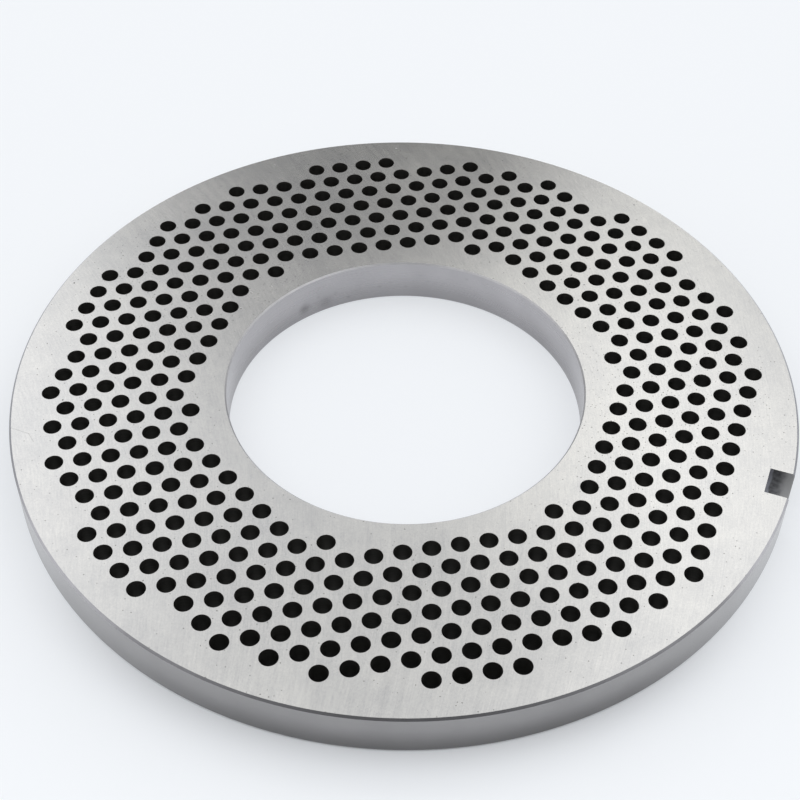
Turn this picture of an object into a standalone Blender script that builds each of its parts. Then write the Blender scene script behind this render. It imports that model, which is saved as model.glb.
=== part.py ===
"""Mincer hole plate: one turned, drilled and milled disc of hardened steel.

The plate lies flat on Z = 0 with its axis on Z and its keyway on +X. It is made
in the order of the real one: a ring is turned, the keyway is milled through its
rim, and the hole field is drilled. All sizes are in metres.
"""

import math

import bmesh
import bpy
from mathutils import Matrix, Vector

# Turned ring
OUTER_DIAMETER = 0.1746
BORE_DIAMETER = 0.0800
THICKNESS = 0.0110
EDGE_CHAMFER = 0.0005

# Drilled hole field, and the solid land that it leaves to the rim and the bore
HOLE_DIAMETER = 0.0040
HOLE_WEB = 0.0020
OUTER_LAND = 0.0063
INNER_LAND = 0.0041

# Keyway through the rim, and the solid land round it
KEYWAY_WIDTH = 0.0070
KEYWAY_DEPTH = 0.0054
KEYWAY_LAND = 0.0060

# Flats that stand for the round faces, and the most triangles the solid may have
RING_SIDES = 96
TRIANGLE_BUDGET = 12000
FEWEST_HOLE_SIDES = 4
MOST_HOLE_SIDES = 24

# How far a cutter stands out past the faces that it cuts through
CUTTER_OVERRUN = 0.0020

# Ground steel
STEEL_COLOUR = (0.56, 0.56, 0.555, 1.0)
STEEL_ROUGHNESS = 0.36
STEEL_METALLIC = 1.0

OUTER_RADIUS = OUTER_DIAMETER / 2
BORE_RADIUS = BORE_DIAMETER / 2
HOLE_RADIUS = HOLE_DIAMETER / 2
HOLE_PITCH = HOLE_DIAMETER + HOLE_WEB
KEYWAY_END = OUTER_RADIUS - KEYWAY_DEPTH
CUTTER_HEIGHT = THICKNESS + 2 * CUTTER_OVERRUN


def clear_scene():
    """Remove every object that the scene starts with."""
    for thing in list(bpy.data.objects):
        bpy.data.objects.remove(thing, do_unlink=True)


def object_from(name, shape):
    """Turn a bmesh into an object of the scene, with its faces pointing out."""
    mesh = bpy.data.meshes.new(name)
    bmesh.ops.recalc_face_normals(shape, faces=shape.faces)
    shape.to_mesh(mesh)
    shape.free()
    thing = bpy.data.objects.new(name, mesh)
    bpy.context.scene.collection.objects.link(thing)
    return thing


def ring_section():
    """Corners of the chamfered section, as radius and height, in order round it."""
    inner_flat = BORE_RADIUS + EDGE_CHAMFER
    outer_flat = OUTER_RADIUS - EDGE_CHAMFER
    low_edge = EDGE_CHAMFER
    high_edge = THICKNESS - EDGE_CHAMFER
    return (
        (inner_flat, 0.0),
        (outer_flat, 0.0),
        (OUTER_RADIUS, low_edge),
        (OUTER_RADIUS, high_edge),
        (outer_flat, THICKNESS),
        (inner_flat, THICKNESS),
        (BORE_RADIUS, high_edge),
        (BORE_RADIUS, low_edge),
    )


def turned_ring():
    """Spin the section once round the axis."""
    shape = bmesh.new()
    corners = [shape.verts.new((radius, 0.0, height)) for radius, height in ring_section()]
    following = corners[1:] + corners[:1]
    edges = [shape.edges.new(pair) for pair in zip(corners, following)]
    bmesh.ops.spin(
        shape,
        geom=corners + edges,
        cent=(0.0, 0.0, 0.0),
        axis=(0.0, 0.0, 1.0),
        angle=math.tau,
        steps=RING_SIDES,
        use_merge=True,
    )
    return object_from("hole_plate", shape)


def distance_to_keyway(point):
    """Distance from a point to the milled slot, seen from above."""
    beside = max(abs(point.y) - KEYWAY_WIDTH / 2, 0.0)
    inward = max(KEYWAY_END - point.x, 0.0)
    return math.hypot(beside, inward)


def hole_centres():
    """Points of a triangular grid that leave the full land on every side.

    The grid has a point on the axis and rows along Y, so that the keyway
    lies between two of its directions and the field mirrors across X.
    """
    nearest = BORE_RADIUS + INNER_LAND + HOLE_RADIUS
    farthest = OUTER_RADIUS - OUTER_LAND - HOLE_RADIUS
    column_step = Vector((math.sqrt(3) / 2, 0.5)) * HOLE_PITCH
    row_step = Vector((0.0, 1.0)) * HOLE_PITCH
    reach = math.ceil(farthest / column_step.x)
    centres = []
    for column in range(-reach, reach + 1):
        for row in range(-2 * reach, 2 * reach + 1):
            point = column_step * column + row_step * row
            between_lands = nearest <= point.length <= farthest
            if between_lands and distance_to_keyway(point) >= KEYWAY_LAND + HOLE_RADIUS:
                centres.append(point)
    return centres


def hole_sides(hole_count):
    """Most sides that each hole can have within the triangle budget.

    A side of the ring costs 16 triangles, two for each edge of its section.
    A hole of n sides costs 2 * n on its wall and n + 2 on each flat face.
    """
    left_for_holes = TRIANGLE_BUDGET - 2 * len(ring_section()) * RING_SIDES
    sides = left_for_holes // (4 * max(hole_count, 1)) - 1
    return min(max(sides, FEWEST_HOLE_SIDES), MOST_HOLE_SIDES)


def hole_cutter(centres):
    """One prism for each drilled hole, of the same area as the round hole.

    Each prism has a corner towards +X, so that the field mirrors across X.
    """
    sides = hole_sides(len(centres))
    turn = math.tau / sides
    corner_radius = HOLE_RADIUS * math.sqrt(turn / math.sin(turn))
    corner_on_x = Matrix.Rotation(math.radians(-90), 4, "Z")
    shape = bmesh.new()
    for centre in centres:
        place = Matrix.Translation((centre.x, centre.y, THICKNESS / 2))
        bmesh.ops.create_cone(
            shape,
            cap_ends=True,
            segments=sides,
            radius1=corner_radius,
            radius2=corner_radius,
            depth=CUTTER_HEIGHT,
            matrix=place @ corner_on_x,
        )
    return object_from("hole_cutter", shape)


def keyway_cutter():
    """Block that mills the square slot through the rim."""
    length = KEYWAY_DEPTH + CUTTER_OVERRUN
    place = Matrix.Translation((KEYWAY_END + length / 2, 0.0, THICKNESS / 2))
    size = Matrix.Diagonal((length, KEYWAY_WIDTH, CUTTER_HEIGHT, 1.0))
    shape = bmesh.new()
    bmesh.ops.create_cube(shape, size=1.0, matrix=place @ size)
    return object_from("keyway_cutter", shape)


def cut(thing, cutter):
    """Take the cutter away from the thing, and keep the cutter as a guide."""
    modifier = thing.modifiers.new(cutter.name, "BOOLEAN")
    modifier.operation = "DIFFERENCE"
    modifier.solver = "EXACT"
    modifier.object = cutter
    cutter.hide_render = True
    cutter.display_type = "WIRE"


def ground_steel():
    """Bright hardened steel with a fine ground finish."""
    material = bpy.data.materials.new("ground_steel")
    material.use_nodes = True
    shader = material.node_tree.nodes["Principled BSDF"]
    shader.inputs["Base Color"].default_value = STEEL_COLOUR
    shader.inputs["Roughness"].default_value = STEEL_ROUGHNESS
    shader.inputs["Metallic"].default_value = STEEL_METALLIC
    return material


def build():
    """Turn the ring, mill the keyway and drill the hole field."""
    clear_scene()
    plate = turned_ring()
    plate.data.materials.append(ground_steel())
    plate.data.shade_smooth()
    plate.data.set_sharp_from_angle(angle=math.radians(30))
    cut(plate, keyway_cutter())
    cut(plate, hole_cutter(hole_centres()))


build()
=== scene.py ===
"""Looks of the mincer hole plate: bare cut steel on a pale studio floor.

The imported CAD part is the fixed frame. One fine mesh with round holes stands for
its faceted solid, and each kind of cut on it has its own finish. Lengths are in
metres, in the frame of the CAD part: the plate lies on Z = 0 with its axis on Z
and its keyway on +X.
"""

import logging
import math
from contextlib import contextmanager
from dataclasses import dataclass
from enum import Enum
from typing import Callable, Iterable, Iterator, Mapping

import bmesh
import bpy
from mathutils import Euler, Matrix, Vector


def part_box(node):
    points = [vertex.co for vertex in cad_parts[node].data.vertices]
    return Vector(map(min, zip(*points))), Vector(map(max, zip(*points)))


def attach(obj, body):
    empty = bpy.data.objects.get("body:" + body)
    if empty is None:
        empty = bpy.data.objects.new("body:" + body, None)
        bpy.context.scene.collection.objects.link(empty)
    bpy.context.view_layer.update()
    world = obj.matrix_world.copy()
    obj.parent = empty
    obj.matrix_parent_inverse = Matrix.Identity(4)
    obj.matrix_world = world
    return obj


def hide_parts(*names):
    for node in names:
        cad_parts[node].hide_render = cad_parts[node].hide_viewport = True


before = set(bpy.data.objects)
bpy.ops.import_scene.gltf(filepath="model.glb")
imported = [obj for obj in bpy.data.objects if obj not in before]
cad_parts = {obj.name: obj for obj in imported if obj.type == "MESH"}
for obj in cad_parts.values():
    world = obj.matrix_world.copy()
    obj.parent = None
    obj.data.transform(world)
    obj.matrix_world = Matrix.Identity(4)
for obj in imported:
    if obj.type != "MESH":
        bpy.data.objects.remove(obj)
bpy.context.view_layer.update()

LOG = logging.getLogger("mincer_hole_plate")

Colour = tuple[float, float, float]
Point = tuple[float, float, float]

BLACK: Colour = (0.0, 0.0, 0.0)

# Value that a noise swings round, and tone halfway between a finish's dull and bright
NOISE_MEAN = 0.5
MID_TONE = 0.5

# Radii of the plate's round faces
RIM_RADIUS = 0.0873
BORE_RADIUS = 0.0400

# How closely heights and radii have to agree where edges are picked
SAME_HEIGHT = 0.000001
SAME_RADIUS = 0.00001

# Upright share of a face's normal above which the face is flat, or sloped
FLAT_NORMAL = 0.99
SLOPED_NORMAL = 0.1

# Steepest angle between two faces that are shaded as one smooth surface
SMOOTH_ANGLE = math.radians(30.0)


def opaque(colour: Colour) -> tuple[float, float, float, float]:
    """Return a colour with full alpha, as colour sockets take it."""
    return (*colour, 1.0)


def heading(azimuth: float, elevation: float) -> Vector:
    """Work out a direction in space.

    Args:
        azimuth: Degrees from +X towards +Y.
        elevation: Degrees above the floor.

    Returns:
        Unit vector in that direction.
    """
    turn = math.radians(azimuth)
    rise = math.radians(elevation)
    level = math.cos(rise)
    return Vector((math.cos(turn) * level, math.sin(turn) * level, math.sin(rise)))


class Term:
    """A node's output, which can stand in a Python expression on values."""

    def __init__(self, graph: "NodeGraph", socket: bpy.types.NodeSocket) -> None:
        """Wrap one output socket.

        Args:
            graph: The graph that the socket belongs to.
            socket: The output socket.
        """
        self.graph = graph
        self.socket = socket

    def output(self, name: str) -> "Term":
        """Return another output of the same node, by its name."""
        return Term(self.graph, self.socket.node.outputs[name])

    def _math(self, operation: str, first: "Term | float", second: "Term | float") -> "Term":
        """Add one Math node for an operator."""
        return self.graph.node("ShaderNodeMath", {"operation": operation}, {0: first, 1: second})

    def __add__(self, other: "Term | float") -> "Term":
        """Add a term or a number."""
        return self._math("ADD", self, other)

    def __radd__(self, other: float) -> "Term":
        """Add this term to a number."""
        return self._math("ADD", other, self)

    def __sub__(self, other: "Term | float") -> "Term":
        """Take a term or a number away."""
        return self._math("SUBTRACT", self, other)

    def __rsub__(self, other: float) -> "Term":
        """Take this term away from a number."""
        return self._math("SUBTRACT", other, self)

    def __mul__(self, other: "Term | float") -> "Term":
        """Multiply by a term or a number."""
        return self._math("MULTIPLY", self, other)

    def __rmul__(self, other: float) -> "Term":
        """Multiply a number by this term."""
        return self._math("MULTIPLY", other, self)

    def __pow__(self, other: float) -> "Term":
        """Raise to a power."""
        return self._math("POWER", self, other)

    def __rpow__(self, other: float) -> "Term":
        """Raise a number to the power of this term."""
        return self._math("POWER", other, self)


class NodeGraph:
    """The nodes of one material or world."""

    def __init__(self, tree: bpy.types.NodeTree) -> None:
        """Start from an empty tree.

        Args:
            tree: Node tree whose nodes are replaced.
        """
        self.tree = tree
        tree.nodes.clear()

    def node(
        self,
        kind: str,
        settings: Mapping[str, object] | None = None,
        inputs: Mapping[str | int, object] | None = None,
        output: str | int = 0,
    ) -> Term:
        """Add a node and wire it up.

        Args:
            kind: Blender's name of the node type.
            settings: Properties of the node, which are set first.
            inputs: Values or terms of its sockets, by name or number.
            output: Output that the returned term stands for.

        Returns:
            Term of the chosen output.
        """
        made = self.tree.nodes.new(kind)
        for name, setting in (settings or {}).items():
            setattr(made, name, setting)
        for socket, value in (inputs or {}).items():
            if isinstance(value, Term):
                self.tree.links.new(value.socket, made.inputs[socket])
            else:
                made.inputs[socket].default_value = value
        return Term(self, made.outputs[output])

    def end(self, kind: str, shader: Term) -> None:
        """Send a shader to the graph's output node.

        Args:
            kind: Blender's name of the output node type.
            shader: Term of the finished shader.
        """
        made = self.tree.nodes.new(kind)
        self.tree.links.new(shader.socket, made.inputs["Surface"])

    def place(self) -> Term:
        """Return the Object coordinates, which are metres in the frame of the part."""
        return self.node("ShaderNodeTexCoord", output="Object")

    def level(self) -> Term:
        """Return the Object coordinates as seen from above, with Z at 0."""
        return self.vector("MULTIPLY", self.place(), (1.0, 1.0, 0.0))

    def axis(self, place: Term, name: str) -> Term:
        """Return one coordinate of a place: X, Y or Z."""
        return self.node("ShaderNodeSeparateXYZ", inputs={0: place}, output=name)

    def joined(self, x: Term | float, y: Term | float, z: Term | float) -> Term:
        """Return a vector made of three values."""
        return self.node("ShaderNodeCombineXYZ", inputs={0: x, 1: y, 2: z})

    def noise(self, place: Term, scale: float, detail: float = 2.0) -> Term:
        """Add a noise texture.

        Args:
            place: Coordinates that it reads.
            scale: Features in each metre of those coordinates.
            detail: Octaves past the first.

        Returns:
            Value of the noise, which swings round NOISE_MEAN.
        """
        inputs = {"Vector": place, "Scale": scale, "Detail": detail}
        return self.node("ShaderNodeTexNoise", inputs=inputs)

    def level_lines(self, run: float, lines: float) -> Term:
        """Add noise drawn out into level lines round a wall.

        Args:
            run: Changes in each metre along a line.
            lines: Lines in each metre of height.

        Returns:
            Value of the noise, which swings round NOISE_MEAN.
        """
        inputs = {"Vector": self.place(), "Scale": (run, run, lines)}
        return self.noise(self.node("ShaderNodeMapping", inputs=inputs), scale=1.0)

    def ease(self, value: Term, start: Term | float, end: float) -> Term:
        """Return 0 before start, 1 after end and a smooth step between, either way round."""
        inputs = {"Value": value, "From Min": start, "From Max": end}
        settings = {"interpolation_type": "SMOOTHSTEP"}
        return self.node("ShaderNodeMapRange", settings, inputs)

    def blend(self, share: Term, first: Term | Colour, second: Term | Colour) -> Term:
        """Mix two colours.

        Args:
            share: Share of the second colour, from 0 to 1.
            first: Colour at 0.
            second: Colour at 1.

        Returns:
            Term of the mixed colour.
        """
        # Numbers of the Mix node's sockets for colours
        factor, one, two, mixed = 0, 6, 7, 2
        inputs = {factor: share}
        for socket, colour in ((one, first), (two, second)):
            inputs[socket] = colour if isinstance(colour, Term) else opaque(colour)
        return self.node("ShaderNodeMix", {"data_type": "RGBA"}, inputs, output=mixed)

    def relief(self, height: Term, depth: float) -> Term:
        """Turn a height into a bumped normal.

        Args:
            height: Height in units of depth.
            depth: Real height of one unit, in metres.

        Returns:
            Term of the normal.
        """
        return self.node("ShaderNodeBump", inputs={"Distance": depth, "Height": height})

    def vector(
        self,
        operation: str,
        first: Term | Point,
        second: Term | Point,
        output: str = "Vector",
    ) -> Term:
        """Add one Vector Math node and return the named output."""
        settings = {"operation": operation}
        return self.node("ShaderNodeVectorMath", settings, {0: first, 1: second}, output)

    def scaled(self, vector: Term | Point, share: Term | float) -> Term:
        """Return a vector times a number."""
        inputs = {0: vector, "Scale": share}
        return self.node("ShaderNodeVectorMath", {"operation": "SCALE"}, inputs)

    def less(self, first: Term, second: Term | float) -> Term:
        """Return 1 where the first value is less than the second, else 0."""
        return self.node("ShaderNodeMath", {"operation": "LESS_THAN"}, {0: first, 1: second})

    def spot(self, middle: Point, radius: float) -> Term:
        """Return a soft round spot: 1 at its middle and 0 past its radius."""
        away = self.vector("DISTANCE", self.place(), middle, "Value")
        return self.ease(away, radius, 0.0)

    def side(self, azimuth: float, start: float, end: float) -> Term:
        """Tell how far a place lies on one side of the plate's axis.

        Args:
            azimuth: Degrees from +X of that side.
            start: Distance towards it at which the result is 0.
            end: Distance at which it is 1.

        Returns:
            Value from 0 to 1.
        """
        ahead = self.vector("DOT_PRODUCT", self.place(), heading(azimuth, 0.0), "Value")
        return self.ease(ahead, start, end)

    def metal(self, colour: Term, roughness: Term, normal: Term) -> Term:
        """Return the shader of a bare metal."""
        inputs = {"Base Color": colour, "Roughness": roughness, "Metallic": 1.0, "Normal": normal}
        return self.node("ShaderNodeBsdfPrincipled", inputs=inputs)


class Finish:
    """The look of one kind of surface. Each kind of cut on the plate has its own."""

    def shader(self, graph: NodeGraph) -> Term:
        """Return the finished shader. Each finish says how."""
        raise NotImplementedError

    def material(self, name: str) -> bpy.types.Material:
        """Make the material.

        Args:
            name: Name of the material.

        Returns:
            The new material.
        """
        made = bpy.data.materials.new(name)
        made.use_nodes = True
        graph = NodeGraph(made.node_tree)
        graph.end("ShaderNodeOutputMaterial", self.shader(graph))
        return made


@dataclass(frozen=True)
class Mottle:
    """Blotches of one size, lighter and darker than what lies round them.

    Attributes:
        scale: Blotches in each metre.
        detail: Octaves past the first.
        tone: How far they shift the colour between a finish's dull and bright.
        rough: How far they shift its roughness.
    """

    scale: float
    detail: float = 2.0
    tone: float = 0.0
    rough: float = 0.0

    def swing(self, graph: NodeGraph) -> Term:
        """Return their strength, which swings evenly to both sides of 0."""
        return graph.noise(graph.place(), self.scale, self.detail) - NOISE_MEAN


@dataclass(frozen=True)
class Streaks:
    """Marks of one width that the grinding wheel leaves.

    Attributes:
        lines: Streaks in each metre across the grinding arcs.
        run: Changes in each metre along them.
        tone: How far they shift the colour between dull and bright.
        rough: How far they shift the roughness.
        height: How far they stand up, in units of the face's relief.
    """

    lines: float
    run: float
    tone: float
    rough: float = 0.0
    height: float = 0.0


@dataclass(frozen=True)
class PitCluster:
    """Patch of a face where pits lie close together.

    Attributes:
        x: Middle of the patch along X.
        y: Middle of the patch along Y.
        radius: Distance from the middle at which the pits are as sparse as elsewhere.
        share: Share of places that hold a pit at the middle.
    """

    x: float
    y: float
    radius: float
    share: float


@dataclass(frozen=True)
class Pitting:
    """Corrosion pits of one size over a whole face.

    Attributes:
        grid: Places for a pit in each metre.
        radius: Radius of the largest pit, as a share of a place.
        strays: Share of places that hold a pit away from the clusters.
        clusters: Patches with more pits.
        smallest: Radius of the smallest pit, as a share of that of the largest.
        cover: Share of the steel's colour that a pit hides.
        rough: How far a pit shifts the roughness.
        depth: Depth of a pit, in units of the face's relief.
    """

    grid: float
    radius: float
    strays: float
    clusters: tuple[PitCluster, ...]
    smallest: float = 0.4
    cover: float = 0.95
    rough: float = 0.0
    depth: float = 0.0

    def bowls(self, graph: NodeGraph) -> Term:
        """Scatter the pits.

        Args:
            graph: Graph to add to.

        Returns:
            Depth of the pits, from 0 outside them to 1 in their middle.
        """
        level = graph.level()
        share: Term | float = self.strays
        for cluster in self.clusters:
            away = graph.vector("DISTANCE", level, (cluster.x, cluster.y, 0.0), "Value")
            share = graph.ease(away, cluster.radius, 0.0) * cluster.share + share
        settings = {"voronoi_dimensions": "2D"}
        inputs = {"Vector": level, "Scale": self.grid}
        cells = graph.node("ShaderNodeTexVoronoi", settings, inputs)
        chance = graph.node("ShaderNodeSeparateColor", inputs={0: cells.output("Color")})
        least = self.radius * self.smallest
        reach = chance.output("Green") * (self.radius - least) + least
        return graph.less(chance, share) * graph.ease(cells, reach, 0.0)


@dataclass(frozen=True)
class Scratch:
    """Hairline scratch of straight stretches on a flat face.

    Attributes:
        points: Its corners, seen from above.
        width: Distance from its middle line at which it has faded out.
        cover: Share of the steel's colour that it hides.
    """

    points: tuple[tuple[float, float], ...]
    width: float
    cover: float

    def mask(self, graph: NodeGraph) -> Term:
        """Draw the scratch.

        Args:
            graph: Graph to add to.

        Returns:
            1 on its middle line and 0 beside it.
        """
        level = graph.level()
        total: Term | float = 0.0
        for (x0, y0), (x1, y1) in zip(self.points, self.points[1:]):
            run = Vector((x1 - x0, y1 - y0, 0.0))
            offset = graph.vector("SUBTRACT", level, (x0, y0, 0.0))
            along = graph.vector("DOT_PRODUCT", offset, run / run.length_squared, "Value")
            share = graph.node("ShaderNodeClamp", inputs={"Value": along})
            away = graph.vector("DISTANCE", offset, graph.scaled(run, share), "Value")
            total = graph.ease(away, self.width, 0.0) + total
        return total


@dataclass(frozen=True)
class GroundFace(Finish):
    """Face ground flat by a large cup wheel, whose arcs still show, and lightly pitted since.

    Attributes:
        dull: Colour of the duller streaks and patches.
        bright: Colour of the brighter ones.
        pitted: Colour in a pit.
        roughness: Roughness of the clean ground face.
        relief: Real height of one unit of its relief.
        wheel_radius: Radius of the grinding arcs.
        feed: Degrees from +X of the line that the wheel's centre moved on.
        offset: How far that line lies from the plate's axis.
        fine: Fine grinding lines.
        broad: Broader streaks along them.
        clouds: Wide uneven patches.
        patches: Smaller ones.
        freckles: The finest ones.
        specks: Fine pits.
        craters: Coarser pits.
        scratch: A hairline scratch near the rim.
    """

    dull: Colour = (0.472, 0.475, 0.481)
    bright: Colour = (0.614, 0.611, 0.598)
    pitted: Colour = (0.12, 0.12, 0.115)
    roughness: float = 0.22
    relief: float = 0.000004
    wheel_radius: float = 0.206
    feed: float = 49.6
    offset: float = 0.065
    fine: Streaks = Streaks(lines=2700.0, run=330.0, tone=0.7, height=0.5)
    broad: Streaks = Streaks(lines=620.0, run=22.0, tone=0.42, rough=0.03)
    clouds: Mottle = Mottle(scale=38.0, detail=3.0, tone=0.95, rough=0.06)
    patches: Mottle = Mottle(scale=230.0, tone=0.6)
    freckles: Mottle = Mottle(scale=2300.0, tone=0.8)
    specks: Pitting = Pitting(
        grid=1150.0,
        radius=0.27,
        strays=0.045,
        clusters=(
            PitCluster(x=0.050, y=0.014, radius=0.046, share=0.26),
            PitCluster(x=-0.068, y=0.010, radius=0.030, share=0.14),
            PitCluster(x=-0.040, y=0.020, radius=0.026, share=0.18),
        ),
    )
    craters: Pitting = Pitting(
        grid=520.0,
        radius=0.16,
        strays=0.006,
        clusters=(
            PitCluster(x=-0.041, y=0.018, radius=0.022, share=0.30),
            PitCluster(x=0.020, y=0.044, radius=0.022, share=0.16),
            PitCluster(x=-0.072, y=0.006, radius=0.026, share=0.10),
        ),
        rough=0.2,
        depth=9.0,
    )
    scratch: Scratch = Scratch(
        points=((-0.0759, -0.0423), (-0.0714, -0.0425), (-0.0693, -0.0442)),
        width=0.00021,
        cover=0.22,
    )

    def grain(self, graph: NodeGraph, streaks: Streaks) -> Term:
        """Draw noise out along the grinding arcs.

        All points of one arc were cut while the wheel's centre stood at one place of its line.

        Args:
            graph: Graph to add to.
            streaks: Width and length of the streaks.

        Returns:
            Their strength, which swings evenly to both sides of 0.
        """
        turn = (0.0, 0.0, -math.radians(self.feed))
        inputs = {"Vector": graph.place(), "Rotation": turn}
        turned = graph.node("ShaderNodeMapping", inputs=inputs)
        across = graph.axis(turned, "Y")
        arm = across - self.offset
        centre = graph.axis(turned, "X") - (self.wheel_radius**2 - arm * arm) ** 0.5
        drawn = graph.joined(centre * streaks.lines, across * streaks.run, 0.0)
        return graph.noise(drawn, scale=1.0, detail=1.0) - NOISE_MEAN

    def shader(self, graph: NodeGraph) -> Term:
        """Return the ground steel shader."""
        fine = self.grain(graph, self.fine)
        broad = self.grain(graph, self.broad)
        clouds = self.clouds.swing(graph)
        patches = self.patches.swing(graph)
        freckles = self.freckles.swing(graph)
        specks = self.specks.bowls(graph)
        craters = self.craters.bowls(graph)
        scratch = self.scratch.mask(graph)
        streaked = fine * self.fine.tone + broad * self.broad.tone + clouds * self.clouds.tone
        tone = streaked + patches * self.patches.tone + freckles * self.freckles.tone + MID_TONE
        clean = graph.blend(tone, self.dull, self.bright)
        pits = specks * self.specks.cover + craters * self.craters.cover
        worn = broad * self.broad.rough + clouds * self.clouds.rough + craters * self.craters.rough
        height = fine * self.fine.height - craters * self.craters.depth
        return graph.metal(
            graph.blend(pits + scratch * self.scratch.cover, clean, self.pitted),
            worn + self.roughness,
            graph.relief(height, self.relief),
        )


@dataclass(frozen=True)
class Dent:
    """Small dent or stain on a wall.

    Attributes:
        middle: Its place.
        radius: Distance from its middle at which it ends.
        depth: Depth of its middle, in units of the wall's relief.
        stain: Share of the wall's brightness that is lost in its middle.
    """

    middle: Point
    radius: float
    depth: float
    stain: float


@dataclass(frozen=True)
class ShadedSide:
    """Darker side of a turned surface: painted shade for the dim room that it mirrors there.

    Attributes:
        side: Degrees from +X of the most shaded place.
        start: Share of the surface's radius, towards that side, at which it starts.
        loss: Share of its brightness that the painted shade takes there.
        foot_loss: Further share that the painted shade takes there at the underside.
    """

    side: float
    start: float
    loss: float
    foot_loss: float = 0.0


@dataclass(frozen=True)
class TurnedWall(Finish):
    """Round wall with the fine rings that a turning tool leaves, and painted shade at its
    underside and on one side.

    Attributes:
        dull: Colour of the duller rings and patches.
        bright: Colour of the brighter ones.
        roughness: Roughness of the wall.
        foot_shade: Share of its brightness that the wall loses at the underside.
        radius: Radius of the wall.
        shaded_side: Its darker side.
        clear: Height at which it has its full brightness.
        rings: Tool rings in each metre of height.
        ring_run: Changes in each metre along a ring.
        ring_tone: How far the rings shift the colour between dull and bright.
        ring_rough: How far they shift the roughness.
        ring_height: How far they stand up, in units of the wall's relief.
        relief: Real height of one unit of its relief.
        clouds: Uneven patches.
        dents: Dents and stains on it.
    """

    dull: Colour
    bright: Colour
    roughness: float
    foot_shade: float
    radius: float
    shaded_side: ShadedSide
    clear: float = 0.0085
    rings: float = 2600.0
    ring_run: float = 26.0
    ring_tone: float = 0.3
    ring_rough: float = 0.06
    ring_height: float = 0.06
    relief: float = 0.00001
    clouds: Mottle = Mottle(scale=110.0, detail=3.0, tone=1.1)
    dents: tuple[Dent, ...] = ()

    def shader(self, graph: NodeGraph) -> Term:
        """Return the turned steel shader."""
        rings = graph.level_lines(self.ring_run, self.rings) - NOISE_MEAN
        clouds = self.clouds.swing(graph)
        # Painted shade: darker towards the underside, for the shadow near the floor, and on one
        # side, for the dim room that the wall mirrors there
        low = graph.ease(graph.axis(graph.place(), "Z"), self.clear, 0.0)
        side = graph.side(self.shaded_side.side, self.radius * self.shaded_side.start, self.radius)
        shade = low * self.foot_shade + side * (low * self.shaded_side.foot_loss + self.shaded_side.loss)
        height: Term = rings * self.ring_height
        for dent in self.dents:
            spot = graph.spot(dent.middle, dent.radius)
            shade = spot * dent.stain + shade
            height = height - spot * dent.depth
        tone = rings * self.ring_tone + clouds * self.clouds.tone + MID_TONE
        return graph.metal(
            graph.blend(shade, graph.blend(tone, self.dull, self.bright), BLACK),
            rings * self.ring_rough + self.roughness,
            graph.relief(height, self.relief),
        )


@dataclass(frozen=True)
class EdgeBreak(Finish):
    """Narrow chamfer that takes the sharpness off a turned edge, with painted shade on one side
    where one is given.

    Attributes:
        dull: Colour of the duller stretches.
        bright: Colour of the brighter ones.
        roughness: Roughness of the chamfer.
        radius: Radius of the edge.
        shaded_side: Its darker side.
        relief: Real height of one unit of its relief.
        chatter: Marks of the tool's chatter.
        stretches: Longer uneven stretches.
    """

    dull: Colour
    bright: Colour
    roughness: float
    radius: float
    shaded_side: ShadedSide | None = None
    relief: float = 0.000006
    chatter: Mottle = Mottle(scale=420.0, detail=3.0, tone=0.9)
    stretches: Mottle = Mottle(scale=45.0, tone=1.0, rough=0.12)

    def shader(self, graph: NodeGraph) -> Term:
        """Return the chamfer's shader."""
        chatter = self.chatter.swing(graph)
        stretches = self.stretches.swing(graph)
        tone = chatter * self.chatter.tone + stretches * self.stretches.tone + MID_TONE
        colour = graph.blend(tone, self.dull, self.bright)
        # Painted shade: the chamfer darkens on one side, for the dim room that it mirrors there
        if self.shaded_side:
            start = self.radius * self.shaded_side.start
            shade = graph.side(self.shaded_side.side, start, self.radius) * self.shaded_side.loss
            colour = graph.blend(shade, colour, BLACK)
        roughness = stretches * self.stretches.rough + self.roughness
        return graph.metal(colour, roughness, graph.relief(chatter, self.relief))


@dataclass(frozen=True)
class DrilledWall(Finish):
    """Wall of a drilled hole, dark with scale and with the drill's spiral lines.

    Attributes:
        scale: Colour of the dark scale.
        bare: Colour where the drill left it brighter.
        roughness: Roughness of the wall.
        lines: Drill lines in each metre of depth.
        line_run: Changes in each metre along a line.
        line_rough: How far the lines shift the roughness.
        relief: Real height of one unit of the wall's relief.
    """

    scale: Colour = (0.090, 0.088, 0.083)
    bare: Colour = (0.200, 0.196, 0.182)
    roughness: float = 0.5
    lines: float = 3200.0
    line_run: float = 300.0
    line_rough: float = 0.2
    relief: float = 0.000008

    def shader(self, graph: NodeGraph) -> Term:
        """Return the drilled steel shader."""
        lines = graph.level_lines(self.line_run, self.lines)
        return graph.metal(
            graph.blend(lines, self.scale, self.bare),
            (lines - NOISE_MEAN) * self.line_rough + self.roughness,
            graph.relief(lines, self.relief),
        )


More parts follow.
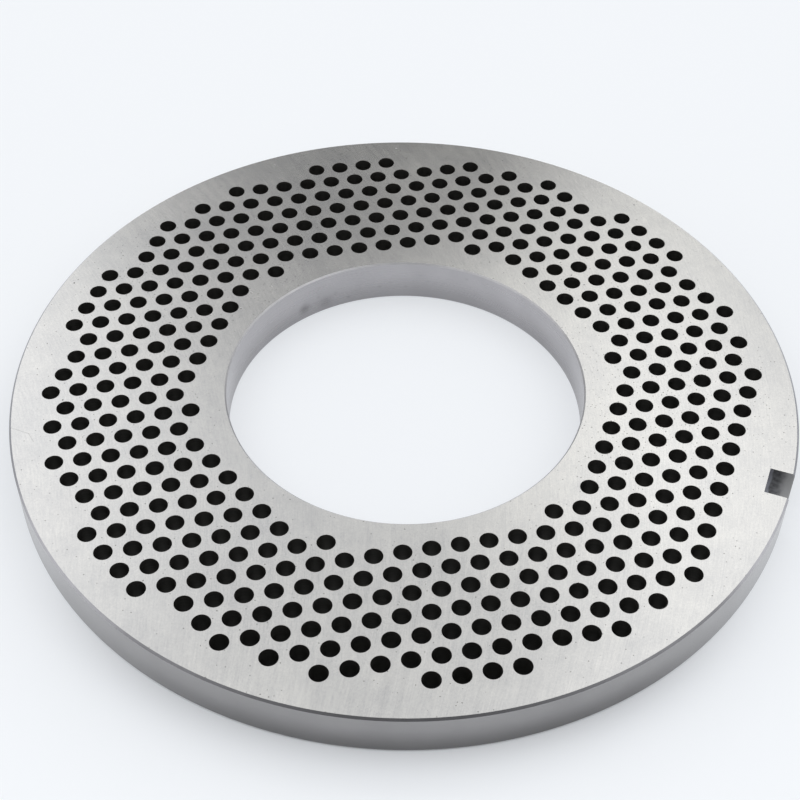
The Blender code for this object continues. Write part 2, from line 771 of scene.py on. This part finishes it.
@dataclass(frozen=True)
class MilledKeyway(Finish):
    """Walls of the milled slot: bright at its inner end, then stained, then plain to the rim.

    Attributes:
        runout: Colour next to the slot's inner end, where the cutter ran out.
        stained: Colour of the stained band.
        scale: Colour of the dark scale in that band.
        plain: Colour towards the rim.
        roughness: Roughness of the milled walls.
        runout_end: X at which the stained band starts.
        runout_fade: Distance to either side of there over which it sets in.
        stain_end: X at which the stain starts to fade.
        outer: X at which the wall is plain.
        wander: How far the blotches move these edges.
        scale_share: Share of the stained band that the scale hides, between its marks.
        relief: Real height of one unit of the walls' relief.
        marks: Marks of the cutter.
        blotches: Uneven edges of the stain.
    """

    runout: Colour = (0.375, 0.380, 0.410)
    stained: Colour = (0.195, 0.195, 0.200)
    scale: Colour = (0.075, 0.075, 0.075)
    plain: Colour = (0.385, 0.380, 0.376)
    roughness: float = 0.42
    runout_end: float = 0.08268
    runout_fade: float = 0.0002
    stain_end: float = 0.0838
    outer: float = 0.0861
    wander: float = 0.0012
    scale_share: float = 0.3
    relief: float = 0.000006
    marks: Mottle = Mottle(scale=1100.0, tone=2.2, rough=0.2)
    blotches: Mottle = Mottle(scale=420.0)

    def shader(self, graph: NodeGraph) -> Term:
        """Return the milled steel shader."""
        marks = self.marks.swing(graph)
        along = graph.axis(graph.place(), "X") + self.blotches.swing(graph) * self.wander
        inner = self.runout_end - self.runout_fade
        run = graph.ease(along, self.runout_end + self.runout_fade, inner)
        rimward = graph.ease(along, self.stain_end, self.outer)
        scaled = (1.0 - rimward) * (marks * self.marks.tone + self.scale_share)
        clean = graph.blend(rimward, self.stained, self.plain)
        return graph.metal(
            graph.blend(run, graph.blend(scaled, clean, self.scale), self.runout),
            marks * self.marks.rough + self.roughness,
            graph.relief(marks, self.relief),
        )


@dataclass(frozen=True)
class FloorCard(Finish):
    """Matt white card that the plate lies on, glowing with painted light, less so towards the
    front.

    The weaker glow in front is painted shade that deepens the plate's shadow there.

    Attributes:
        colour: Colour of the card.
        roughness: Roughness of the card.
        sheen: How strongly it mirrors, where 0.5 is that of plain plastic.
        lit: Share of its colour that it shows of itself, as painted light, at the back and in the
            bore.
        lit_front: The same share in front of the plate, where less of it paints the shadow deeper.
        front: Degrees from +X of the front.
        fade_start: Distance towards the front at which the painted glow starts to fade.
        fade_end: Distance at which it has faded to that of the front.
    """

    colour: Colour = (0.880, 0.905, 0.938)
    roughness: float = 0.9
    sheen: float = 0.1
    lit: float = 0.55
    lit_front: float = 0.04
    front: float = -71.0
    fade_start: float = 0.040
    fade_end: float = 0.080

    def shader(self, graph: NodeGraph) -> Term:
        """Return the card's shader."""
        colour = opaque(self.colour)
        inputs = {
            "Base Color": colour,
            "Roughness": self.roughness,
            "Specular IOR Level": self.sheen,
        }
        card = graph.node("ShaderNodeBsdfPrincipled", inputs=inputs)
        glow = graph.node("ShaderNodeEmission", inputs={"Color": colour, "Strength": 1.0})
        # Painted shade: the glow fades towards the front, so the plate's shadow shows deeper there
        fade = graph.side(self.front, self.fade_start, self.fade_end)
        share = fade * (self.lit_front - self.lit) + self.lit
        ray = graph.node("ShaderNodeLightPath", output="Is Camera Ray")
        seen = ray + ray.output("Is Glossy Ray") + ray.output("Is Transmission Ray")
        return graph.node("ShaderNodeMixShader", inputs={0: seen * share, 1: card, 2: glow})


class Cut(Enum):
    """How a face of the plate was cut, which settles its finish."""

    GROUND = "ground_face"
    RIM = "turned_rim"
    BORE = "turned_bore"
    RIM_BREAK = "rim_edge_break"
    BORE_BREAK = "bore_edge_break"
    DRILLED = "drilled_wall"
    MILLED = "milled_keyway"


BORE_DENTS = (
    Dent(middle=(-0.0312, 0.0250, 0.0051), radius=0.0007, depth=3.0, stain=0.10),
    Dent(middle=(-0.0282, 0.0284, 0.0044), radius=0.0009, depth=4.0, stain=0.08),
    Dent(middle=(-0.0257, 0.0307, 0.0021), radius=0.0009, depth=3.0, stain=0.10),
    Dent(middle=(-0.0193, 0.0351, 0.0038), radius=0.0007, depth=3.0, stain=0.10),
    Dent(middle=(-0.0169, 0.0363, 0.0048), radius=0.0008, depth=4.0, stain=0.04),
    Dent(middle=(-0.0135, 0.0377, 0.0034), radius=0.0007, depth=3.0, stain=0.08),
    Dent(middle=(0.0013, 0.0400, 0.0085), radius=0.0006, depth=3.0, stain=0.08),
    Dent(middle=(-0.0336, 0.0218, 0.0034), radius=0.0024, depth=0.0, stain=0.26),
    Dent(middle=(-0.0300, 0.0265, 0.0028), radius=0.0028, depth=0.0, stain=0.14),
)

FINISHES: dict[Cut, Finish] = {
    Cut.GROUND: GroundFace(),
    # Painted shade on the rim wall: darker towards the underside and on the side towards -67
    # degrees
    Cut.RIM: TurnedWall(
        dull=(0.350, 0.343, 0.345),
        bright=(0.433, 0.424, 0.425),
        roughness=0.20,
        foot_shade=0.15,
        radius=RIM_RADIUS,
        shaded_side=ShadedSide(side=-67.0, start=0.69, loss=0.11, foot_loss=0.23),
    ),
    # Painted shade on the bore wall: darker towards the underside and on the side towards 118
    # degrees
    Cut.BORE: TurnedWall(
        dull=(0.430, 0.420, 0.433),
        bright=(0.529, 0.516, 0.529),
        roughness=0.28,
        foot_shade=0.21,
        radius=BORE_RADIUS,
        shaded_side=ShadedSide(side=118.0, start=0.60, loss=0.07),
        dents=BORE_DENTS,
    ),
    # Painted shade on the rim chamfer: darker on the side towards -68 degrees
    Cut.RIM_BREAK: EdgeBreak(
        dull=(0.255, 0.255, 0.272),
        bright=(0.360, 0.360, 0.380),
        roughness=0.24,
        radius=RIM_RADIUS,
        shaded_side=ShadedSide(side=-68.0, start=0.76, loss=0.38),
    ),
    Cut.BORE_BREAK: EdgeBreak(
        dull=(0.410, 0.410, 0.425),
        bright=(0.565, 0.565, 0.580),
        roughness=0.36,
        radius=BORE_RADIUS,
    ),
    Cut.DRILLED: DrilledWall(),
    Cut.MILLED: MilledKeyway(),
}


def take(thing: bpy.types.Object) -> None:
    """Select one object alone and make it the active one."""
    bpy.ops.object.select_all(action="DESELECT")
    thing.select_set(True)
    bpy.context.view_layer.objects.active = thing


@contextmanager
def editing(thing: bpy.types.Object, mode: str) -> Iterator[bmesh.types.BMesh]:
    """Open an object's mesh in edit mode, with nothing selected in it.

    Args:
        thing: Object to edit.
        mode: What is selected there: VERT, EDGE or FACE.

    Yields:
        The mesh that edit mode shows.
    """
    take(thing)
    bpy.ops.object.mode_set(mode="EDIT")
    bpy.ops.mesh.select_mode(type=mode)
    bpy.ops.mesh.select_all(action="DESELECT")
    try:
        yield bmesh.from_edit_mesh(thing.data)
    finally:
        bpy.ops.object.mode_set(mode="OBJECT")


def pick(thing: bpy.types.Object, elements: Iterable, wanted: Callable[..., bool]) -> None:
    """Select the faces or edges that a test wants, and no others.

    Args:
        thing: Object in edit mode.
        elements: Faces or edges of its edit mesh.
        wanted: Test of one face or edge.
    """
    bpy.ops.mesh.select_all(action="DESELECT")
    for element in elements:
        if wanted(element):
            element.select_set(True)
    bmesh.update_edit_mesh(thing.data)


def cut_away(thing: bpy.types.Object, cutter: bpy.types.Object) -> None:
    """Take a cutter's shape away from an object, and delete the cutter.

    Args:
        thing: Object that is cut.
        cutter: Object that cuts it.
    """
    take(thing)
    modifier = thing.modifiers.new("cut", "BOOLEAN")
    modifier.operation = "DIFFERENCE"
    modifier.solver = "EXACT"
    modifier.object = cutter
    bpy.ops.object.modifier_apply(modifier=modifier.name)
    take(cutter)
    bpy.ops.object.delete()


def settle(thing: bpy.types.Object) -> None:
    """Put an object's place, turn and size into its mesh."""
    take(thing)
    bpy.ops.object.transform_apply(location=True, rotation=True, scale=True)


@dataclass(frozen=True)
class HolePlate:
    """The plate: a turned ring with a milled keyway and a field of drilled holes.

    Attributes:
        outer_radius: Radius of the rim.
        thickness: Height of the plate.
        bore_radius: Radius of the centre bore.
        rim_break: Width of the chamfers on the rim.
        bore_break: Width of the chamfers on the bore.
        hole_radius: Radius of a drilled hole.
        hole_pitch: Distance between the centres of two neighbouring holes.
        outer_land: Solid land between the holes and the rim.
        inner_land: Solid land between the holes and the bore.
        keyway_width: Width of the slot in the rim.
        keyway_depth: Depth of the slot from the rim.
        keyway_land: Solid land between the holes and the slot.
        ring_sides: Sides of the rim and the bore.
        hole_sides: Sides of a drilled hole.
        sectors: Faces that each flat side is left in before it is drilled.
        overrun: How far a cutter stands out past what it cuts through.
    """

    outer_radius: float
    thickness: float
    bore_radius: float = BORE_RADIUS
    rim_break: float = 0.00046
    bore_break: float = 0.00034
    hole_radius: float = 0.0020
    hole_pitch: float = 0.0060
    outer_land: float = 0.0063
    inner_land: float = 0.0041
    keyway_width: float = 0.0070
    keyway_depth: float = 0.0054
    keyway_land: float = 0.0060
    ring_sides: int = 288
    hole_sides: int = 32
    sectors: int = 6
    overrun: float = 0.0020

    @classmethod
    def from_frame(cls) -> "HolePlate":
        """Return a plate of the size of the CAD node."""
        low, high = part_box("hole_plate")
        return cls(outer_radius=(high.y - low.y) / 2, thickness=high.z - low.z)

    @property
    def keyway_end(self) -> float:
        """X of the slot's inner end."""
        return self.outer_radius - self.keyway_depth

    @property
    def mid_radius(self) -> float:
        """Radius halfway between the bore and the rim."""
        return (self.outer_radius + self.bore_radius) / 2

    def turned_ring(self) -> bpy.types.Object:
        """Turn the ring: a disc, its bore and its four broken edges.

        Returns:
            The ring, at its place.
        """
        bpy.ops.mesh.primitive_cylinder_add(
            vertices=self.ring_sides,
            radius=self.outer_radius,
            depth=self.thickness,
            end_fill_type="NGON",
            location=(0.0, 0.0, self.thickness / 2),
        )
        ring = bpy.context.active_object
        ring.name = "drilled_plate"
        with editing(ring, "FACE") as shape:
            pick(ring, shape.faces, lambda face: abs(face.normal.z) > FLAT_NORMAL)
            bpy.ops.mesh.inset(thickness=self.outer_radius - self.bore_radius)
            bpy.ops.mesh.bridge_edge_loops()
        rim = (self.outer_radius, self.rim_break)
        bore = (self.bore_radius, self.bore_break)
        for radius, width in (rim, bore):
            with editing(ring, "EDGE") as shape:
                pick(ring, shape.edges, lambda edge: self.is_turned_edge(edge, radius))
                bpy.ops.mesh.bevel(offset=width, segments=1, affect="EDGES")
        with editing(ring, "EDGE") as shape:
            pick(ring, shape.edges, self.is_spare_spoke)
            bpy.ops.mesh.dissolve_edges(use_verts=False)
        settle(ring)
        return ring

    @staticmethod
    def is_turned_edge(edge: bmesh.types.BMEdge, radius: float) -> bool:
        """Say whether an edge runs round the ring at a radius, at the top or the bottom."""
        one, two = (vert.co for vert in edge.verts)
        level = abs(one.z - two.z) < SAME_HEIGHT
        return level and all(abs(end.xy.length - radius) < SAME_RADIUS for end in (one, two))

    def is_spare_spoke(self, edge: bmesh.types.BMEdge) -> bool:
        """Say whether an edge crosses a flat side inside one of its sectors.

        Args:
            edge: Edge of the chamfered ring.

        Returns:
            True where the edge isn't needed, because it parts no two sectors.
        """
        one, two = (vert.co for vert in edge.verts)
        spoke = abs(one.xy.length - two.xy.length) > self.bore_radius / 2
        sector = math.tau / self.sectors
        half_side = math.tau / self.ring_sides / 2
        turn = math.atan2(one.y, one.x) % sector
        kept = turn < half_side or turn > sector - half_side
        return spoke and not kept

    def keyway_cutter(self) -> bpy.types.Object:
        """Make the block that mills the slot.

        Returns:
            The cutter, at its place.
        """
        length = self.keyway_depth + self.overrun
        bpy.ops.mesh.primitive_cube_add(
            size=1.0,
            location=(self.keyway_end + length / 2, 0.0, self.thickness / 2),
            scale=(length, self.keyway_width, self.thickness + 2 * self.overrun),
        )
        return bpy.context.active_object

    def to_keyway(self, point: Vector) -> float:
        """Return the distance from a point to the slot, seen from above."""
        beside = max(abs(point.y) - self.keyway_width / 2, 0.0)
        inward = max(self.keyway_end - point.x, 0.0)
        return math.hypot(beside, inward)

    def hole_centres(self) -> list[Vector]:
        """Work out the drilled field: a triangular grid, less what would cut into a land.

        Returns:
            Centres of the holes, seen from above.
        """
        nearest = self.bore_radius + self.inner_land + self.hole_radius
        farthest = self.outer_radius - self.outer_land - self.hole_radius
        column_step = Vector((math.sqrt(3) / 2, 0.5)) * self.hole_pitch
        row_step = Vector((0.0, 1.0)) * self.hole_pitch
        reach = math.ceil(farthest / column_step.x)
        centres = []
        for column in range(-reach, reach + 1):
            for row in range(-2 * reach, 2 * reach + 1):
                point = column_step * column + row_step * row
                on_land = self.to_keyway(point) < self.keyway_land + self.hole_radius
                if nearest <= point.length <= farthest and not on_land:
                    centres.append(point)
        return centres

    def drill(self, centres: list[Vector]) -> bpy.types.Object:
        """Make one drill and copy it to every hole.

        Args:
            centres: Centres of the holes.

        Returns:
            All drills as one cutter, at its place.
        """
        bpy.ops.mesh.primitive_cylinder_add(
            vertices=self.hole_sides,
            radius=self.hole_radius,
            depth=self.thickness + 2 * self.overrun,
            location=(centres[0].x, centres[0].y, self.thickness / 2),
        )
        first = bpy.context.active_object
        take(first)
        for centre in centres[1:]:
            copy = first.copy()
            copy.data = first.data.copy()
            copy.location = (centre.x, centre.y, self.thickness / 2)
            bpy.context.scene.collection.objects.link(copy)
            copy.select_set(True)
        bpy.ops.object.join()
        settle(first)
        return first

    def cut_of(self, face: bmesh.types.BMFace) -> Cut:
        """Tell how a face was cut, by its place and normal.

        Args:
            face: Face of the finished plate.

        Returns:
            The kind of cut.
        """
        middle = face.calc_center_median()
        radius = middle.xy.length
        outside = radius > self.mid_radius
        if abs(face.normal.z) > FLAT_NORMAL:
            return Cut.GROUND
        if abs(face.normal.z) > SLOPED_NORMAL:
            return Cut.RIM_BREAK if outside else Cut.BORE_BREAK
        if radius > self.outer_radius - self.rim_break / 2:
            return Cut.RIM
        if radius < self.bore_radius + self.bore_break / 2:
            return Cut.BORE
        in_slot = abs(middle.y) < self.keyway_width / 2 + self.rim_break
        if middle.x > self.keyway_end - self.rim_break and in_slot:
            return Cut.MILLED
        return Cut.DRILLED

    def dress(self, plate: bpy.types.Object) -> None:
        """Give every face the finish of its cut.

        Args:
            plate: The finished plate.
        """
        plate.data.materials.clear()
        for cut, finish in FINISHES.items():
            plate.data.materials.append(finish.material(cut.value))
        with editing(plate, "FACE") as shape:
            for slot, cut in enumerate(FINISHES):
                pick(plate, shape.faces, lambda face: self.cut_of(face) is cut)
                plate.active_material_index = slot
                bpy.ops.object.material_slot_assign()

    def build(self) -> bpy.types.Object:
        """Turn, mill, drill and finish the plate.

        Returns:
            The plate, in place of the CAD node.
        """
        plate = self.turned_ring()
        cut_away(plate, self.keyway_cutter())
        cut_away(plate, self.drill(self.hole_centres()))
        with editing(plate, "FACE"):
            bpy.ops.mesh.select_all(action="SELECT")
            bpy.ops.mesh.quads_convert_to_tris(quad_method="BEAUTY", ngon_method="BEAUTY")
        self.dress(plate)
        take(plate)
        bpy.ops.object.shade_smooth_by_angle(angle=SMOOTH_ANGLE)
        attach(plate, "root")
        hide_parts("hole_plate")
        return plate


@dataclass(frozen=True)
class Card:
    """Soft-edged patch of the studio's surroundings.

    Attributes:
        azimuth: Degrees from +X towards +Y, seen from the plate.
        elevation: Degrees above the floor.
        core: Degrees from its middle at which it starts to fade.
        edge: Degrees from its middle at which it has faded out.
        light: Light that it adds to the plain surroundings, or takes away.
        tint: Colour of that light.
    """

    azimuth: float
    elevation: float
    core: float
    edge: float
    light: float
    tint: Colour = (1.0, 1.0, 1.0)


# Sides are those of the photograph: the camera stands at -71 degrees, and the face
# mirrors what lies opposite, about halfway up
SKY = (
    # Bright window high on the left
    Card(azimuth=-149.0, elevation=71.0, core=22.6, edge=38.7, light=0.71),
    # Pale walls low on the right and halfway up there
    Card(azimuth=27.0, elevation=3.0, core=8.3, edge=18.4, light=1.20),
    Card(azimuth=-7.0, elevation=52.0, core=19.6, edge=34.7, light=0.51),
    # Pale wall low on the left
    Card(azimuth=203.0, elevation=0.0, core=18.9, edge=29.0, light=0.87),
    # Dim room on the camera's side
    Card(azimuth=-64.0, elevation=28.0, core=24.7, edge=46.8, light=-0.22),
    # Wide pale wall opposite
    Card(azimuth=77.0, elevation=46.0, core=16.9, edge=37.3, light=0.82),
    # Dark gaps in it, one below the other
    Card(azimuth=114.0, elevation=37.0, core=3.1, edge=11.4, light=-1.43),
    Card(azimuth=112.0, elevation=51.0, core=4.5, edge=12.5, light=-0.87),
    # Brighter stretch to their left
    Card(azimuth=130.0, elevation=40.0, core=6.0, edge=23.1, light=0.72),
    # Small bright card to their right, slightly warm, and a dark gap below it
    Card(azimuth=99.0, elevation=44.0, core=1.0, edge=9.0, light=1.10, tint=(1.0, 0.99, 0.95)),
    Card(azimuth=95.0, elevation=35.0, core=6.1, edge=14.1, light=-0.96),
    # Small bright spot to their left
    Card(azimuth=126.0, elevation=45.0, core=5.1, edge=14.7, light=0.32),
)


@dataclass(frozen=True)
class Studio:
    """Pale floor and soft light from all round.

    Attributes:
        floor_size: Side of the floor.
        floor_gap: How far the floor lies below the plate.
        surroundings: Light of the plain surroundings.
        cards: Brighter and darker patches in them.
    """

    floor_size: float = 40.0
    floor_gap: float = 0.00005
    surroundings: float = 0.66
    cards: tuple[Card, ...] = SKY

    def floor(self) -> bpy.types.Object:
        """Lay the floor.

        Returns:
            The floor, which isn't part of the object.
        """
        place = (0.0, 0.0, -self.floor_gap)
        bpy.ops.mesh.primitive_plane_add(size=self.floor_size, location=place)
        laid = bpy.context.active_object
        laid.name = "studio_floor"
        laid.data.materials.append(FloorCard().material("floor_card"))
        settle(laid)
        return laid

    def light(self) -> None:
        """Light the scene from its surroundings."""
        world = bpy.data.worlds.new("studio")
        world.use_nodes = True
        graph = NodeGraph(world.node_tree)
        ahead = graph.node("ShaderNodeTexCoord", output="Generated")
        glow: Term | Point = (self.surroundings,) * 3
        for card in self.cards:
            middle = heading(card.azimuth, card.elevation)
            facing = graph.vector("DOT_PRODUCT", ahead, middle, "Value")
            edge = math.cos(math.radians(card.edge))
            core = math.cos(math.radians(card.core))
            share = graph.ease(facing, edge, core) * card.light
            glow = graph.vector("ADD", glow, graph.scaled(card.tint, share))
        glow = graph.vector("MAXIMUM", glow, BLACK)
        shader = graph.node("ShaderNodeBackground", inputs={"Color": glow})
        graph.end("ShaderNodeOutputWorld", shader)
        bpy.context.scene.world = world


@dataclass(frozen=True)
class PhotoCamera:
    """Camera at the photograph's viewing angle, for a square image.

    Attributes:
        aim: Point that it looks at.
        distance: Distance from there.
        azimuth: Degrees that it is turned from looking along +Y.
        elevation: Degrees that it looks down.
        lean: Degrees that it is tilted to its left.
        lens: Focal length in millimetres.
        shift_x: How far the picture lies right of the lens's axis, as a share of its width.
        shift_y: How far it lies above that axis.
        nearest: Nearest distance that it sees.
    """

    aim: Point = (0.005537, -0.007143, 0.01108)
    distance: float = 0.35524
    azimuth: float = 18.516
    elevation: float = 47.243
    lean: float = 1.312
    lens: float = 72.587
    shift_x: float = -0.02274
    shift_y: float = 0.01433
    nearest: float = 0.01

    def build(self) -> bpy.types.Object:
        """Set up the camera.

        Returns:
            The camera, which the scene then uses.
        """
        tilt = Euler((math.radians(90.0 - self.elevation), 0.0, math.radians(self.azimuth)))
        turn = tilt.to_matrix() @ Matrix.Rotation(math.radians(self.lean), 3, "Z")
        ahead = turn @ Vector((0.0, 0.0, -1.0))
        bpy.ops.object.camera_add(
            location=Vector(self.aim) - ahead * self.distance,
            rotation=turn.to_euler(),
        )
        camera = bpy.context.active_object
        camera.name = "photo_camera"
        camera.data.lens = self.lens
        camera.data.shift_x = self.shift_x
        camera.data.shift_y = self.shift_y
        camera.data.clip_start = self.nearest
        bpy.context.scene.camera = camera
        return camera


def main() -> None:
    """Build the camera, the studio and the plate."""
    logging.basicConfig(level=logging.INFO, format="%(message)s")
    bpy.context.scene.view_settings.view_transform = "Standard"
    LOG.info("camera: %s", PhotoCamera().build().name)
    studio = Studio()
    studio.light()
    LOG.info("stage: %s", studio.floor().name)
    plate = HolePlate.from_frame().build()
    LOG.info("piece: %s, %d triangles", plate.name, len(plate.data.polygons))


if __name__ == "__main__":
    main()
